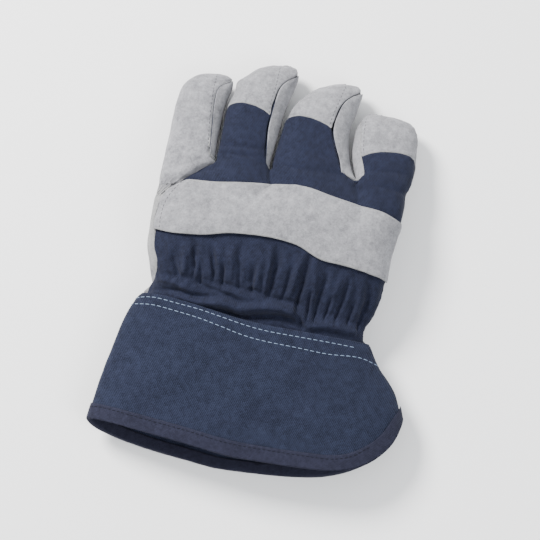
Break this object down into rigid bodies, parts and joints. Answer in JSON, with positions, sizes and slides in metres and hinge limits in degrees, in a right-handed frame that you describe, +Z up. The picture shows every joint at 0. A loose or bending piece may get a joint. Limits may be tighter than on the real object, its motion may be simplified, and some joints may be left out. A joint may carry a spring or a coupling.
{
  "type": "insulated work glove",
  "caption": "Right-hand insulated work glove with a leather palm, fingertips and knuckle strap, a cloth back with a gathered wrist and a wide open safety cuff.",
  "frame": {"origin": "on the surface that the glove lies on, under the middle of its bounding box", "axes": "+Y from the cuff towards the fingertips, +X towards the little finger, +Z up out of the back of the hand"},
  "size_m": [0.1994, 0.2616, 0.0442],
  "materials": {
    "leather": "matte split leather",
    "cloth": "matte navy twill",
    "hem": "matte dark navy tape"
  },
  "bodies": {
    "root": {"palm_leather": "leather", "thumb": "leather", "back_cloth": "cloth", "fingertip_middle": "leather", "fingertip_ring": "leather", "fingertip_little": "leather", "fourchette_index_middle": "leather", "fourchette_middle_ring": "leather", "fourchette_ring_little": "leather", "knuckle_strap": "leather", "cuff": "cloth", "cuff_binding": "hem"}
  },
  "joints": []
}
